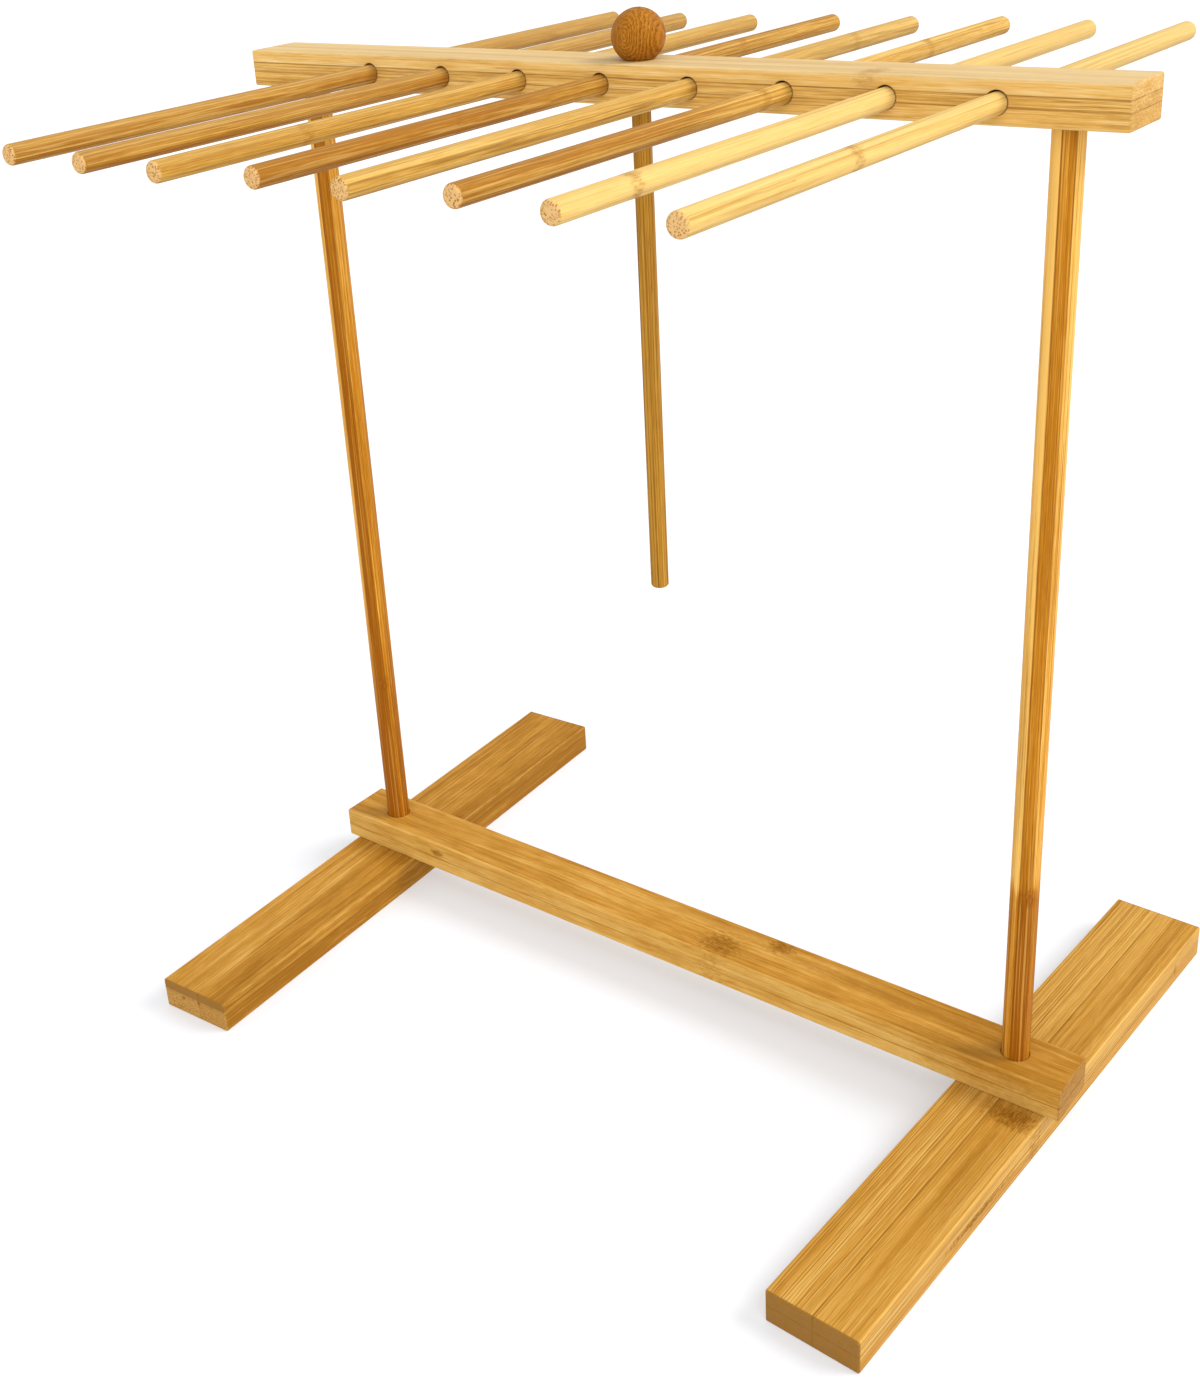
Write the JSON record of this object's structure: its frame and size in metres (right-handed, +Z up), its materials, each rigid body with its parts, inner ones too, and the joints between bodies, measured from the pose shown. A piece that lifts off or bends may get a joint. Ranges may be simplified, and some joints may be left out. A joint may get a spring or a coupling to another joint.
{
  "type": "pasta drying rack",
  "caption": "Free-standing bamboo pasta drying rack: swivelling flat feet, a base bar, two posts and a top bar with loose rods through it and a ball-topped wand hanging in its middle.",
  "frame": {"origin": "on the floor, under the middle of the whole outline at rest", "axes": "+X along the bars to the side with the rods nearest a post, +Y to the back, +Z up"},
  "size_m": [0.4236, 0.3878, 0.4682],
  "materials": {
    "bamboo_dark": "satin oiled bamboo, laminated strips",
    "bamboo_post": "satin oiled bamboo dowel",
    "bamboo_light": "satin oiled bamboo in three plies",
    "bamboo_rod": "satin bamboo dowel",
    "bamboo_ball": "satin turned bamboo",
    "screw_steel": "zinc-plated"
  },
  "bodies": {
    "base": {"base_bar": "bamboo_dark"},
    "left_leg": {"foot_left": "bamboo_dark", "post_left": "bamboo_post", "foot_screw_left": "screw_steel"},
    "right_leg": {"foot_right": "bamboo_dark", "post_right": "bamboo_post", "foot_screw_right": "screw_steel"},
    "head": {"top_bar": "bamboo_light"},
    "rod_1_body": {"rod_1": "bamboo_rod"},
    "rod_2_body": {"rod_2": "bamboo_rod"},
    "rod_3_body": {"rod_3": "bamboo_rod"},
    "rod_4_body": {"rod_4": "bamboo_rod"},
    "rod_5_body": {"rod_5": "bamboo_rod"},
    "rod_6_body": {"rod_6": "bamboo_rod"},
    "rod_7_body": {"rod_7": "bamboo_rod"},
    "rod_8_body": {"rod_8": "bamboo_rod"},
    "wand": {"wand_rod": "bamboo_rod", "wand_ball": "bamboo_ball"}
  },
  "joints": [
    {"name": "left_foot_swivel", "type": "hinge", "parent": "base", "child": "left_leg", "pos_m": [-0.18269, 0.01719, 0.016], "axis": [0, 0, 1], "range_deg": [-93, 87]},
    {"name": "right_foot_swivel", "type": "hinge", "parent": "base", "child": "right_leg", "pos_m": [0.18431, 0.01719, 0.016], "axis": [0, 0, 1], "range_deg": [-87.6, 92.4]},
    {"name": "top_bar_lift", "type": "slide", "parent": "base", "child": "head", "axis": [0, 0, 1], "range_m": [0, 0.012]},
    {"name": "rod_1_slide", "type": "slide", "parent": "head", "child": "rod_1_body", "axis": [0, 1, 0], "range_m": [-0.1896, 0.2264]},
    {"name": "rod_2_slide", "type": "slide", "parent": "head", "child": "rod_2_body", "axis": [0, 1, 0], "range_m": [-0.1886, 0.2274]},
    {"name": "rod_3_slide", "type": "slide", "parent": "head", "child": "rod_3_body", "axis": [0, 1, 0], "range_m": [-0.1869, 0.2291]},
    {"name": "rod_4_slide", "type": "slide", "parent": "head", "child": "rod_4_body", "axis": [0, 1, 0], "range_m": [-0.1925, 0.2235]},
    {"name": "rod_5_slide", "type": "slide", "parent": "head", "child": "rod_5_body", "axis": [0, 1, 0], "range_m": [-0.19, 0.226]},
    {"name": "rod_6_slide", "type": "slide", "parent": "head", "child": "rod_6_body", "axis": [0, 1, 0], "range_m": [-0.1947, 0.2213]},
    {"name": "rod_7_slide", "type": "slide", "parent": "head", "child": "rod_7_body", "axis": [0, 1, 0], "range_m": [-0.1878, 0.2282]},
    {"name": "rod_8_slide", "type": "slide", "parent": "head", "child": "rod_8_body", "axis": [0, 1, 0], "range_m": [-0.1886, 0.2274]},
    {"name": "wand_lift", "type": "slide", "parent": "head", "child": "wand", "axis": [0, 0, 1], "range_m": [0, 0.245]}
  ]
}
